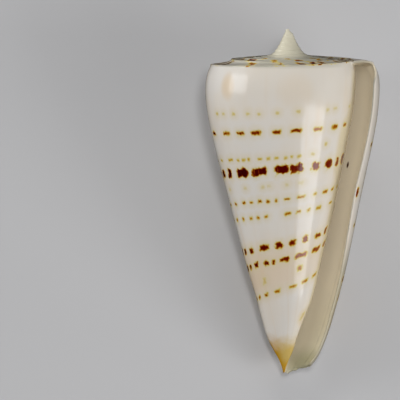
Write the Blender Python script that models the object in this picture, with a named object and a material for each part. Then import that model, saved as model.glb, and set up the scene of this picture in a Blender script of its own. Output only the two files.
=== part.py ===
"""A necklace cone shell: one hollow wall rolled round an axis, lying on its back with the slit aperture up.

The wall is laid out on a grid. A column stands at each growth angle, counted in turns, with 0 at the right
silhouette of the aperture side. A level runs from the suture over the ramp, the shoulder and the side to
the front end. The apex is at depth 0 and the front end at the full length.
"""

import math

import bmesh
import bpy
import numpy as np
from mathutils import Matrix, Vector

MM = 0.001

# Driving sizes, in millimetres
LENGTH = 65.5
WALL = 1.25
LIP_EDGE = 0.38
CEILING = 1.0
SHOULDER_STEP = 0.28
LEAST_STEP_SHARE = 0.01
RAMP_SAG = 0.25
TIP_SHIFT = -0.8
FLAT_SPOT_CUT = 0.3

# Growth, in turns. The lip stands a little past the right silhouette, towards the aperture.
LIP_TURN = 0.054
WHORLS = 13
WHORL_RATIO = 1.28
APERTURE_TURNS = 0.4
LIP_BEVEL_TURNS = 0.075
LIP_SET_BACK = 0.045
LIP_SET_BACK_FADE = 0.2
LIP_SET_BACK_REACH = 0.16
LIP_BULGE = 0.011
LIP_BULGE_PLACE = 0.27
LIP_BULGE_REACH = 0.2
FRONT_CROWDING = 0.9

# The resting pose, in degrees: the axis rises towards the spire, and the shell is rolled about it
REST_TILT = 12.5
REST_ROLL = 0.0

# Outlines of the side, as radius in millimetres at these depths below the shoulder: at the lip, half a turn
# before it and a whole turn before it
OUTLINE_DEPTHS = (0.0, 1.8, 5.0, 12.5, 21.5, 30.6, 39.7, 45.0, 51.6, 55.1, 57.0, 58.5)
LIP_OUTLINE = (15.95, 16.8, 17.2, 16.45, 14.6, 12.75, 10.9, 9.6, 7.8, 6.85, 6.1, 5.1)
HALF_TURN_OUTLINE = (14.6, 15.3, 15.7, 14.7, 12.4, 9.95, 7.45, 5.85, 3.8, 1.75, 0.6, 0.15)
FULL_TURN_OUTLINE = (12.15, 12.55, 12.65, 11.6, 9.85, 7.95, 5.75, 4.4, 1.85, 1.2, 0.5, 0.12)

# The spire seen from the side: depth below the apex at these radii
SPIRE_RADII = (0.0, 0.38, 0.76, 1.5, 2.27, 3.1, 4.6, 7.6, 12.15)
SPIRE_DEPTHS = (0.0, 0.28, 1.04, 2.55, 4.05, 4.8, 5.1, 5.35, 5.95)

# Depth of the shoulder and of the front end at these growth angles
SHOULDER_TURNS = (-1.0, -0.75, -0.5, -0.42, -0.34, -0.16, -0.05, 0.1)
SHOULDER_DEPTHS = (5.95, 6.15, 6.7, 6.8, 6.4, 5.85, 6.3, 6.4)
END_TURNS = (-1.5, -1.0, -0.5, -0.3, -0.18, -0.1, LIP_TURN)
END_DEPTHS = (64.6, 65.0, 65.2, 65.3, LENGTH, 64.6, 63.5)

# Grid
COLUMNS_PER_TURN = 48
RAMP_LEVELS = 2
SIDE_FRACTIONS = (
    (0.012, 0.03, 0.055, 0.09, 0.14, 0.21, 0.29, 0.38, 0.47)
    + (0.56, 0.65, 0.73, 0.8, 0.86, 0.91, 0.95, 0.98, 1.0)
)
CEILING_LEVEL = 1
CEILING_STEPS = 2


def smooth_step(x):
    x = min(max(x, 0.0), 1.0)
    return x * x * (3.0 - 2.0 * x)


def monotone_curve(knots, values, x):
    """A smooth curve through the points that never goes past them."""
    rises = [(values[k + 1] - values[k]) / (knots[k + 1] - knots[k]) for k in range(len(knots) - 1)]
    slopes = [rises[0]]
    for before, after in zip(rises, rises[1:]):
        slopes.append(2.0 * before * after / (before + after) if before * after > 0.0 else 0.0)
    slopes.append(rises[-1])
    x = min(max(x, knots[0]), knots[-1])
    k = min(int(np.searchsorted(knots, x, side="right")) - 1, len(rises) - 1)
    width = knots[k + 1] - knots[k]
    t = (x - knots[k]) / width
    start = values[k] * (1.0 + 2.0 * t) + slopes[k] * width * t
    end = values[k + 1] * (3.0 - 2.0 * t) - slopes[k + 1] * width * (1.0 - t)
    return start * (1.0 - t) ** 2 + end * t * t


class Outline:
    """A natural cubic spline through the points of one side outline."""

    def __init__(self, radii):
        self.x = np.array(OUTLINE_DEPTHS) / OUTLINE_DEPTHS[-1]
        self.y = np.array(radii)
        n = len(self.x)
        gap = np.diff(self.x)
        rise = np.diff(self.y) / gap
        system = np.eye(n)
        right = np.zeros(n)
        for k in range(1, n - 1):
            system[k, k - 1 : k + 2] = gap[k - 1], 2.0 * (gap[k - 1] + gap[k]), gap[k]
            right[k] = 6.0 * (rise[k] - rise[k - 1])
        self.bend = np.linalg.solve(system, right)

    def radius(self, u):
        u = min(max(u, 0.0), 1.0)
        k = min(int(np.searchsorted(self.x, u, side="right")) - 1, len(self.x) - 2)
        gap = self.x[k + 1] - self.x[k]
        b = (u - self.x[k]) / gap
        a = 1.0 - b
        curved = (a**3 - a) * self.bend[k] + (b**3 - b) * self.bend[k + 1]
        return a * self.y[k] + b * self.y[k + 1] + curved * gap * gap / 6.0


AT_LIP = Outline(LIP_OUTLINE)
AT_HALF_TURN = Outline(HALF_TURN_OUTLINE)
AT_FULL_TURN = Outline(FULL_TURN_OUTLINE)


def shoulder_radius(turn):
    if turn >= -1.0:
        return side_radius(turn, 0.0)
    # The first whorl grows out of a point
    age = turn - LIP_TURN + WHORLS
    return FULL_TURN_OUTLINE[0] * WHORL_RATIO ** (turn + 1.0) * smooth_step(age / 0.8)


def shoulder_depth(turn):
    if turn < -1.0:
        return monotone_curve(SPIRE_RADII, SPIRE_DEPTHS, shoulder_radius(turn))
    return monotone_curve(SHOULDER_TURNS, SHOULDER_DEPTHS, turn)


def end_depth(turn):
    return monotone_curve(END_TURNS, END_DEPTHS, turn)


def side_depth(turn, u):
    top = shoulder_depth(turn)
    return top + u * (end_depth(turn) - top)


def side_radius(turn, u):
    """Radius of the outside at a fraction u of the way from the shoulder to the front end."""
    if turn >= -1.0:
        radii = [outline.radius(u) for outline in (AT_FULL_TURN, AT_HALF_TURN, AT_LIP)]
        radii.append(radii[-1] * WHORL_RATIO**0.1)
        if -0.5 < turn < 0.0:
            late = 1.0 + FRONT_CROWDING * smooth_step((u - 0.9) / 0.1)
            turn = 0.5 * (2.0 * turn + 1.0) ** late - 0.5
        return monotone_curve((-1.0, -0.5, 0.0, 0.1), radii, turn)
    # Further inside, the wall is the same outline shrunk about the apex
    ratio = WHORL_RATIO ** (turn + 1.0)
    top = shoulder_depth(-1.0)
    depth = side_depth(turn, u) / ratio
    return ratio * AT_FULL_TURN.radius((depth - top) / (end_depth(-1.0) - top))


def foot(turn):
    """Where the next whorl's ramp starts, a small step below this whorl's shoulder."""
    fall = shoulder_depth(turn + 1.0) - shoulder_depth(turn) if turn < -1.0 else 1.0
    radius = shoulder_radius(turn)
    step = min(SHOULDER_STEP, max(0.6 * fall, LEAST_STEP_SHARE * radius))
    return radius + 0.3 * step, shoulder_depth(turn) + step


def ramp_point(turn, t):
    """Point of the ramp, from the suture (0) to the shoulder (1)."""
    inner_r, inner_d = foot(turn - 1.0)
    outer_r, outer_d = shoulder_radius(turn), shoulder_depth(turn)
    sag = RAMP_SAG * smooth_step((turn + 4.0) / 3.0) * 4.0 * t * (1.0 - t)
    return inner_r + t * (outer_r - inner_r), inner_d + t * (outer_d - inner_d) + sag


def near_lip(turn):
    return smooth_step(1.0 - (LIP_TURN - turn) / LIP_SET_BACK_FADE)


def set_back(turn, share):
    """Growth angle of a point near the lip, whose edge stands back at the shoulder."""
    return turn - LIP_SET_BACK * near_lip(turn) * smooth_step(share)


def side_set_back(turn, u):
    """The same on the side, where the lip's edge bulges forward below the shoulder."""
    bulge = LIP_BULGE * smooth_step(1.0 - abs(u - LIP_BULGE_PLACE) / LIP_BULGE_REACH)
    return set_back(turn, 1.0 - u / LIP_SET_BACK_REACH) + near_lip(turn) * bulge


def place(turn, radius, depth):
    """A point in the shell's own frame: apex up along +Y, aperture towards +Z."""
    angle = 2.0 * math.pi * turn
    shift = TIP_SHIFT * smooth_step((depth - 0.84 * LENGTH) / (0.16 * LENGTH))
    return Vector((radius * math.cos(angle) + shift, -depth, radius * math.sin(angle)))


def wall_thickness(turn):
    """Thickness of the last whorl's wall, thinned to an edge at the lip."""
    inside = smooth_step((LIP_TURN - turn) / LIP_BEVEL_TURNS)
    return LIP_EDGE + (WALL - LIP_EDGE) * inside


def ceiling_thickness(turn):
    inside = smooth_step((LIP_TURN - turn) / LIP_BEVEL_TURNS)
    return LIP_EDGE + (CEILING - LIP_EDGE) * inside


class ShellGrid:
    """The closed surface, built from shared vertices named by surface, column and level."""

    def __init__(self):
        self.bm = bmesh.new()
        self.named = {}
        self.last = COLUMNS_PER_TURN * WHORLS
        self.inner_last = self.last - COLUMNS_PER_TURN
        self.pocket = self.last - round(APERTURE_TURNS * COLUMNS_PER_TURN)
        self.bottom = len(SIDE_FRACTIONS) - 1

    def turn(self, column):
        return LIP_TURN - (self.last - column) / COLUMNS_PER_TURN

    def vertex(self, name, turn, radius, depth):
        if name not in self.named:
            self.named[name] = self.bm.verts.new(place(turn, radius, depth))
        return self.named[name]

    def ramp(self, column, level):
        """Level 0 is the suture, RAMP_LEVELS the shoulder and the one after it the foot of the step."""
        if column == 0 or (level == 0 and column <= COLUMNS_PER_TURN):
            return self.vertex("apex", 0.0, 0.0, 0.0)
        if level == 0:
            return self.ramp(column - COLUMNS_PER_TURN, RAMP_LEVELS + 1)
        t = min(level / RAMP_LEVELS, 1.0)
        turn = set_back(self.turn(column), t)
        radius, depth = foot(turn) if level > RAMP_LEVELS else ramp_point(turn, t)
        return self.vertex(("ramp", column, level), turn, radius, depth)

    def side(self, column, level):
        """Level 0 is the foot of the shoulder's step."""
        if level == 0:
            return self.ramp(column, RAMP_LEVELS + 1)
        u = SIDE_FRACTIONS[level]
        turn = side_set_back(self.turn(column), u)
        if level == CEILING_LEVEL:
            top = foot(turn)[1] - shoulder_depth(turn)
            u = (top + ceiling_thickness(turn + 1.0)) / (end_depth(turn) - shoulder_depth(turn))
        return self.vertex(("side", column, level), turn, side_radius(turn, u), side_depth(turn, u))

    def inside(self, column, level):
        """The wall's inner face. It starts on the whorl before, under the ramp."""
        if level == CEILING_LEVEL:
            return self.side(column - COLUMNS_PER_TURN, CEILING_LEVEL)
        whole = self.turn(column)
        name = ("inside", column, level)
        corner = CEILING_LEVEL + CEILING_STEPS
        if level <= corner:
            t = 0.5 + 0.5 * (level - CEILING_LEVEL - 1) / (CEILING_STEPS - 1)
            turn = set_back(whole, t)
            radius, depth = ramp_point(turn, t)
            inset = wall_thickness(whole) * t**4
            return self.vertex(name, turn, radius - inset, depth + ceiling_thickness(whole))
        u = SIDE_FRACTIONS[level]
        turn = side_set_back(whole, u)
        outer = side_radius(turn, u)
        room = outer - side_radius(turn - 1.0, u)
        thickness = min(wall_thickness(whole), 0.5 * room)
        return self.vertex(name, turn, outer - thickness, side_depth(turn, u))

    def face(self, *corners):
        distinct = list(dict.fromkeys(corners))
        if len(distinct) > 2:
            self.bm.faces.new(distinct)

    def sheet(self, surface, columns, levels):
        for column in range(*columns):
            for level in range(*levels):
                self.face(
                    surface(column, level),
                    surface(column + 1, level),
                    surface(column + 1, level + 1),
                    surface(column, level + 1),
                )

    def strip(self, first, second):
        for k in range(len(first) - 1):
            self.face(first[k], first[k + 1], second[k + 1], second[k])

    def close_front_end(self):
        """Closes the columella's tip with a fan round a point on the axis."""
        inner = range(self.pocket - COLUMNS_PER_TURN, self.pocket + 1)
        ring = [self.side(column, self.bottom) for column in inner]
        ring.append(self.inside(self.pocket, self.bottom))
        middle = sum((v.co for v in ring[:-2]), Vector()) / (len(ring) - 2)
        centre = self.bm.verts.new(middle)
        for before, after in zip(ring, ring[1:] + ring[:1]):
            self.face(centre, before, after)

    def build(self):
        levels = (0, RAMP_LEVELS + 1)
        self.sheet(self.ramp, (0, self.last), levels)
        self.sheet(self.side, (self.inner_last, self.last), (0, self.bottom))
        within = (self.pocket - COLUMNS_PER_TURN, self.inner_last)
        self.sheet(self.side, within, (CEILING_LEVEL, self.bottom))
        self.sheet(self.inside, (self.pocket, self.last), (CEILING_LEVEL, self.bottom))
        outer_lip = [self.ramp(self.last, level) for level in range(RAMP_LEVELS + 1)]
        outer_lip += [self.side(self.last, level) for level in range(self.bottom + 1)]
        self.close_lip(outer_lip)
        columns = range(self.pocket, self.last + 1)
        self.strip(
            [self.side(column, self.bottom) for column in columns],
            [self.inside(column, self.bottom) for column in columns],
        )
        hidden = range(CEILING_LEVEL, self.bottom + 1)
        self.strip(
            [self.inside(self.pocket, level) for level in hidden],
            [self.side(self.pocket - COLUMNS_PER_TURN, level) for level in hidden],
        )
        self.close_front_end()

    def close_lip(self, outer):
        """Joins the lip's outer edge to its inner edge, which has fewer points at the shoulder."""
        inner = [self.inside(self.last, level) for level in range(CEILING_LEVEL, self.bottom + 1)]
        extra = len(outer) - len(inner)
        corner = inner[CEILING_STEPS]
        self.strip(outer, inner[:CEILING_STEPS] + [corner] * extra + inner[CEILING_STEPS:])


def cut_flat_spot(bm):
    """Cuts off a thin slice of the underside, so that the shell rests on a small flat spot."""
    lowest = min(v.co.z for v in bm.verts)
    plane = Vector((0.0, 0.0, lowest + FLAT_SPOT_CUT))
    geometry = bm.verts[:] + bm.edges[:] + bm.faces[:]
    cut = bmesh.ops.bisect_plane(
        bm, geom=geometry, plane_co=plane, plane_no=(0.0, 0.0, -1.0), dist=1e-4, clear_outer=True
    )
    rim = [g for g in cut["geom_cut"] if isinstance(g, bmesh.types.BMEdge)]
    bmesh.ops.contextual_create(bm, geom=rim)


def pose():
    """From the shell's own frame to the resting pose."""
    roll = Matrix.Rotation(math.radians(REST_ROLL), 4, "Y")
    tilt = Matrix.Rotation(math.radians(REST_TILT), 4, "X")
    return tilt @ roll


def stand_on_origin(bm):
    """Puts the middle of the bounding box's underside at the origin."""
    low = [min(v.co[axis] for v in bm.verts) for axis in range(3)]
    high = [max(v.co[axis] for v in bm.verts) for axis in range(3)]
    offset = Vector(((low[0] + high[0]) / 2.0, (low[1] + high[1]) / 2.0, low[2]))
    for vertex in bm.verts:
        vertex.co -= offset


def shell_material():
    material = bpy.data.materials.new("porcelain_white_shell")
    material.use_nodes = True
    shader = material.node_tree.nodes["Principled BSDF"]
    shader.inputs["Base Color"].default_value = (0.66, 0.6, 0.52, 1.0)
    shader.inputs["Roughness"].default_value = 0.28
    shader.inputs["Metallic"].default_value = 0.0
    return material


def make_shell():
    grid = ShellGrid()
    grid.build()
    bm = grid.bm
    bm.transform(pose())
    cut_flat_spot(bm)
    stand_on_origin(bm)
    bmesh.ops.triangulate(bm, faces=bm.faces[:])
    bmesh.ops.recalc_face_normals(bm, faces=bm.faces[:])
    bm.transform(Matrix.Scale(MM, 4))
    mesh = bpy.data.meshes.new("shell")
    bm.to_mesh(mesh)
    bm.free()
    mesh.materials.append(shell_material())
    mesh.shade_smooth()
    mesh.set_sharp_from_angle(angle=math.radians(40.0))
    shell = bpy.data.objects.new("shell", mesh)
    bpy.context.scene.collection.objects.link(shell)
    return shell


for old in list(bpy.data.objects):
    bpy.data.objects.remove(old, do_unlink=True)
make_shell()
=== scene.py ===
"""A necklace cone shell lying on its back on a pale surface, with its slit aperture up.

The fine mesh follows the same growth rules as the solid it stands for. A column stands at each growth angle,
counted in turns, and a level runs from the suture over the ramp, the shoulder and the side to the front end.
The dashes are drawn by the material from each face's place beside the nearest dash.
"""

import math

import bmesh
import bpy
import numpy as np
from mathutils import Matrix, Vector


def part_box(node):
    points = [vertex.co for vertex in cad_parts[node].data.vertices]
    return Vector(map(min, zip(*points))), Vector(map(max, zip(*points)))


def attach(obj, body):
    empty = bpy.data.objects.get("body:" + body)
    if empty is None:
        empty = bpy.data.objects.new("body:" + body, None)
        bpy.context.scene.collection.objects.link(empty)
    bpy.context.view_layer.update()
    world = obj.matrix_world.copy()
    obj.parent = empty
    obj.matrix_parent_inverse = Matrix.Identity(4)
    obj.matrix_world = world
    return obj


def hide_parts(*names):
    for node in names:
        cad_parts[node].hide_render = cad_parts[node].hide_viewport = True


MM = 0.001
TAU = 2.0 * math.pi

# Driving sizes, in millimetres
LENGTH = 65.5
WALL = 1.25
LIP_EDGE = 0.38
LIP_CROWN = 0.42
CEILING = 1.0
SHOULDER_STEP = 0.28
LATE_FALL = 1.0
RAMP_SAG = 0.25
TIP_SHIFT = -0.8
FLAT_SPOT_CUT = 0.3

# Growth, in turns
LIP_TURN = 0.054
WHORLS = 13
WHORL_RATIO = 1.28
APEX_TURNS = 0.8
APERTURE_TURNS = 0.4
LIP_BEVEL_TURNS = 0.075
LIP_SET_BACK = 0.045
LIP_SET_BACK_FADE = 0.2
LIP_CROWN_REACH = 0.14
SAG_FROM = -4.0
SAG_GROWTH = 3.0
COVERED_FROM = -0.945
COVERED_FADE = 0.04
POCKET_END_TURN = -1.3
TIP_TURN = -1.0
TIP_FACE_TURN = -0.9

# Places on the side, as shares of the way from the shoulder to the front end
LIP_SET_BACK_REACH = 0.07
CROWDED_FROM = 0.9
CROWDED_REACH = 0.1
WAVES_FADE_IN = 0.05
FRONT_WAVES_FROM = 0.93
FRONT_WAVES_REACH = 0.07

# How far the lip's edge bulges forward, in turns, at these places on the side
LIP_BULGE_PLACES = (0.0, 0.1, 0.2, 0.3, 0.42, 0.55, 0.75, 0.9)
LIP_BULGES = (0.0, 0.008, 0.010, 0.012, 0.018, 0.014, 0.004, 0.0)

# Where the tip leans to the left, as shares of the length
TIP_SHIFT_FROM = 0.84
TIP_SHIFT_REACH = 0.16

# Shares: of the fall and the radius in the step under a shoulder, of that step, of an edge's thickness, of
# the room for the wall, and of the growth waves' height
STEP_OF_FALL = 0.42
LEAST_STEP = 0.01
STEP_OVERHANG = 0.3
SHOULDER_FULLNESS = 0.3
LIP_BULGE_HEIGHT = 0.5
FRONT_BULGE_HEIGHT = 0.15
MOST_WALL = 0.5
WAVES_LOST_IN_FRONT = 0.7

# Powers, and the tilt at rest in degrees
SHOULDER_DROP_POWER = 1.5
RAMP_WALL_POWER = 4
FRONT_CROWDING = 0.9
REST_TILT = 12.5

# Outlines of the side, as radius in millimetres at these depths below the shoulder
OUTLINE_DEPTHS = (0.0, 1.8, 5.0, 12.5, 21.5, 30.6, 39.7, 45.0, 51.6, 55.1, 57.0, 58.5)
LIP_OUTLINE = (15.95, 16.8, 17.2, 16.45, 14.6, 12.75, 10.9, 9.6, 7.8, 6.85, 6.1, 5.1)
HALF_TURN_OUTLINE = (14.6, 15.3, 15.7, 14.7, 12.4, 9.95, 7.45, 5.85, 3.8, 1.75, 0.6, 0.15)
FULL_TURN_OUTLINE = (12.15, 12.55, 12.65, 11.6, 9.85, 7.95, 5.75, 4.4, 1.85, 1.2, 0.5, 0.12)

# Turns at which the outlines stand, and one past the lip to which the growth goes on
OUTLINE_TURNS = (-1.0, -0.5, 0.0, 0.1)

SPIRE_RADII = (0.0, 0.36, 0.62, 0.86, 1.55, 2.5, 3.3, 4.6, 7.6, 12.15)
SPIRE_DEPTHS = (0.0, 0.1, 0.45, 1.04, 2.55, 4.05, 4.8, 5.1, 5.35, 5.85)
SHOULDER_TURNS = (-1.0, -0.9, -0.75, -0.5, -0.42, -0.34, -0.16, -0.08, 0.0, 0.1)
SHOULDER_DEPTHS = (5.85, 5.92, 6.15, 6.7, 6.8, 6.4, 5.92, 6.2, 6.3, 6.2)
END_TURNS = (-1.5, -1.0, -0.5, -0.3, -0.18, -0.1, LIP_TURN)
END_DEPTHS = (64.6, 65.0, 65.1, 65.1, 65.2, 64.5, 63.4)

# Fine grid, with the steps over which the lip's edge turns into the front edge and ends at the suture
COLUMNS = 144
RAMP_LEVELS = 7
SHOULDER_LEVELS = 3
SIDE_LEVELS = 100
EDGE_LEVELS = 3
CEILING_LEVEL = EDGE_LEVELS + 1
FRONT_CORNER_STEPS = 8.0
SUTURE_CORNER_STEPS = 3.0

# Small growth waves in the glossy surface, as waves a turn, height in millimetres and start
GROWTH_WAVES = ((13, 0.014, 0.3), (21, 0.010, 1.9), (34, 0.006, 4.0), (47, 0.004, 2.2))
FRONT_EDGE_WAVES = ((17, 0.09, 1.1), (29, 0.06, 2.7))

# The camera looks down on the shell, four degrees towards the apex from square to its axis
CAMERA_LEAN = 4.0
CAMERA_DISTANCE = 1500.0
CAMERA_LENS = 714.3
SENSOR_WIDTH = 36.0
CLIP = (0.01, 10.0)
AIM_SIDE = -16.7
AIM_DEPTH = 32.4

# The floor, in metres, and its two greys
FLOOR_REACH = 2.0
FLOOR_GREYS = ((0.50, 0.50, 0.51), (0.54, 0.54, 0.55))
FLOOR_GRAIN = 6.0
FLOOR_ROUGHNESS = 0.7

# Each light's name, degrees round the axis from the right side, share of its direction that points to the
# apex, distance and size in metres, power, whether the gloss mirrors it and whether it casts shadows. The
# last one stands in for the light that comes through the thin wall.
LIGHTS = (
    ("right_softbox", 34.5, -0.41, 0.9, (0.58, 0.31), 1.82, True, True),
    ("left_softbox", 165.0, 0.18, 0.9, (0.48, 0.42), 1.95, True, True),
    ("right_fill", 30.0, -0.2, 1.2, (0.4, 0.4), 4.1, False, True),
    ("lip_fill", 6.0, 0.0, 1.2, (0.4, 0.4), 2.0, False, True),
    ("left_fill", 176.0, 0.55, 1.2, (0.4, 0.4), 1.3, False, True),
    ("front_fill", 86.0, 0.22, 1.2, (0.14, 0.3), 4.4, False, True),
    ("spire_fill", 100.0, 0.93, 1.2, (0.4, 0.3), 2.2, False, True),
    ("wall_fill", 158.0, 0.5, 1.2, (0.5, 0.5), 4.5, False, False),
)
LIGHT_AIM_HEIGHT = 0.015
WORLD_STRENGTH = 0.08


def smooth_step(x):
    x = np.clip(x, 0.0, 1.0)
    return x * x * (3.0 - 2.0 * x)


def steps(count):
    """Shares from the first step to the whole, in as many steps."""
    return np.arange(1, count + 1)[None, :] / count


def monotone_curve(knots, values, x):
    """A smooth curve through the points that never goes past them. The values may differ for each x."""
    knots = np.array(knots)
    x = np.clip(x, knots[0], knots[-1])
    values = np.stack([np.broadcast_to(value, x.shape) for value in values])
    widths = np.diff(knots)
    rises = np.diff(values, axis=0) / widths.reshape(-1, *[1] * x.ndim)
    product = rises[:-1] * rises[1:]
    same_way = product > 0.0
    middle = np.where(same_way, 2.0 * product / np.where(same_way, rises[:-1] + rises[1:], 1.0), 0.0)
    slopes = np.concatenate([rises[:1], middle, rises[-1:]])
    k = np.clip(np.searchsorted(knots, x, side="right") - 1, 0, len(widths) - 1)

    def pick(table, index):
        return np.take_along_axis(table, index[None], axis=0)[0]

    width = widths[k]
    t = (x - knots[k]) / width
    start = pick(values, k) * (1.0 + 2.0 * t) + pick(slopes, k) * width * t
    end = pick(values, k + 1) * (3.0 - 2.0 * t) - pick(slopes, k + 1) * width * (1.0 - t)
    return start * (1.0 - t) ** 2 + end * t * t


def outline(radii):
    """The natural cubic spline through one side outline, as a function of the share of the way down."""
    x = np.array(OUTLINE_DEPTHS) / OUTLINE_DEPTHS[-1]
    gap = np.diff(x)
    rise = np.diff(radii) / gap
    system = np.eye(len(x))
    right = np.zeros(len(x))
    for k in range(1, len(x) - 1):
        system[k, k - 1 : k + 2] = gap[k - 1], 2.0 * (gap[k - 1] + gap[k]), gap[k]
        right[k] = 6.0 * (rise[k] - rise[k - 1])
    bend = np.linalg.solve(system, right)
    y = np.array(radii)

    def radius(u):
        u = np.clip(u, 0.0, 1.0)
        k = np.clip(np.searchsorted(x, u, side="right") - 1, 0, len(x) - 2)
        b = (u - x[k]) / gap[k]
        a = 1.0 - b
        curved = (a**3 - a) * bend[k] + (b**3 - b) * bend[k + 1]
        return a * y[k] + b * y[k + 1] + curved * gap[k] * gap[k] / 6.0

    return radius


at_lip = outline(LIP_OUTLINE)
at_half_turn = outline(HALF_TURN_OUTLINE)
at_full_turn = outline(FULL_TURN_OUTLINE)


def shoulder_radius(turn):
    age = turn - LIP_TURN + WHORLS
    early = FULL_TURN_OUTLINE[0] * WHORL_RATIO ** (turn + 1.0) * smooth_step(age / APEX_TURNS)
    return np.where(turn >= -1.0, late_side_radius(turn, np.zeros_like(turn)), early)


def shoulder_depth(turn):
    early = monotone_curve(SPIRE_RADII, SPIRE_DEPTHS, shoulder_radius(turn))
    return np.where(turn < -1.0, early, monotone_curve(SHOULDER_TURNS, SHOULDER_DEPTHS, turn))


def end_depth(turn):
    return monotone_curve(END_TURNS, END_DEPTHS, turn)


def side_depth(turn, u):
    top = shoulder_depth(turn)
    return top + u * (end_depth(turn) - top)


def late_side_radius(turn, u):
    """Radius of the last whorl's side, between its outlines, whose growth crowds together in front."""
    radii = [at_full_turn(u), at_half_turn(u), at_lip(u)]
    radii.append(radii[-1] * WHORL_RATIO ** OUTLINE_TURNS[-1])
    late = 1.0 + FRONT_CROWDING * smooth_step((u - CROWDED_FROM) / CROWDED_REACH)
    crowded = 0.5 * np.clip(2.0 * turn + 1.0, 0.0, 1.0) ** late - 0.5
    turn = np.where((turn > -0.5) & (turn < 0.0), crowded, turn)
    return monotone_curve(OUTLINE_TURNS, radii, turn)


def side_radius(turn, u):
    """Radius of the outside at a fraction u of the way from the shoulder to the front end."""
    ratio = WHORL_RATIO ** (turn + 1.0)
    top = SHOULDER_DEPTHS[0]
    depth = side_depth(turn, u) / ratio
    early = ratio * at_full_turn((depth - top) / (END_DEPTHS[1] - top))
    return np.where(turn >= -1.0, late_side_radius(turn, u), early)


def side_share(depth):
    """The fraction u at a depth below the apex, as in a whorl that is a turn old."""
    return (depth - SHOULDER_DEPTHS[0]) / (LENGTH - SHOULDER_DEPTHS[0])


def foot(turn):
    """Where the next whorl's ramp starts, a small step below this whorl's shoulder."""
    fall = np.where(turn < -1.0, shoulder_depth(turn + 1.0) - shoulder_depth(turn), LATE_FALL)
    radius = shoulder_radius(turn)
    step = np.minimum(SHOULDER_STEP, np.maximum(STEP_OF_FALL * fall, LEAST_STEP * radius))
    return radius + STEP_OVERHANG * step, shoulder_depth(turn) + step


def ramp_point(turn, t):
    """Point of the ramp, from the suture (0) to the shoulder (1)."""
    inner_r, inner_d = foot(turn - 1.0)
    outer_r, outer_d = shoulder_radius(turn), shoulder_depth(turn)
    hump = 4.0 * t * (1.0 - t)
    sag = RAMP_SAG * smooth_step((turn - SAG_FROM) / SAG_GROWTH) * (1.0 - near_lip(turn)) * hump
    crown = LIP_CROWN * smooth_step(1.0 - (LIP_TURN - turn) / LIP_CROWN_REACH) * np.sqrt(hump)
    return inner_r + t * (outer_r - inner_r), inner_d + t * (outer_d - inner_d) + sag - crown


def near_lip(turn):
    return smooth_step(1.0 - (LIP_TURN - turn) / LIP_SET_BACK_FADE)


def set_back(turn, share):
    """Growth angle of a point near the lip, whose edge stands back at the shoulder."""
    return turn - LIP_SET_BACK * near_lip(turn) * smooth_step(share)


def side_set_back(turn, u):
    """The same on the side, where the lip's edge bulges forward below the shoulder."""
    bulge = monotone_curve(LIP_BULGE_PLACES, LIP_BULGES, u)
    return set_back(turn, 1.0 - u / LIP_SET_BACK_REACH) + near_lip(turn) * bulge


def thinned(turn, full):
    """Wall thickness, thinned to an edge at the lip."""
    return LIP_EDGE + (full - LIP_EDGE) * smooth_step((LIP_TURN - turn) / LIP_BEVEL_TURNS)


def waves(table, turn):
    return sum(height * np.sin(TAU * count * turn + start) for count, height, start in table)


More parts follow.
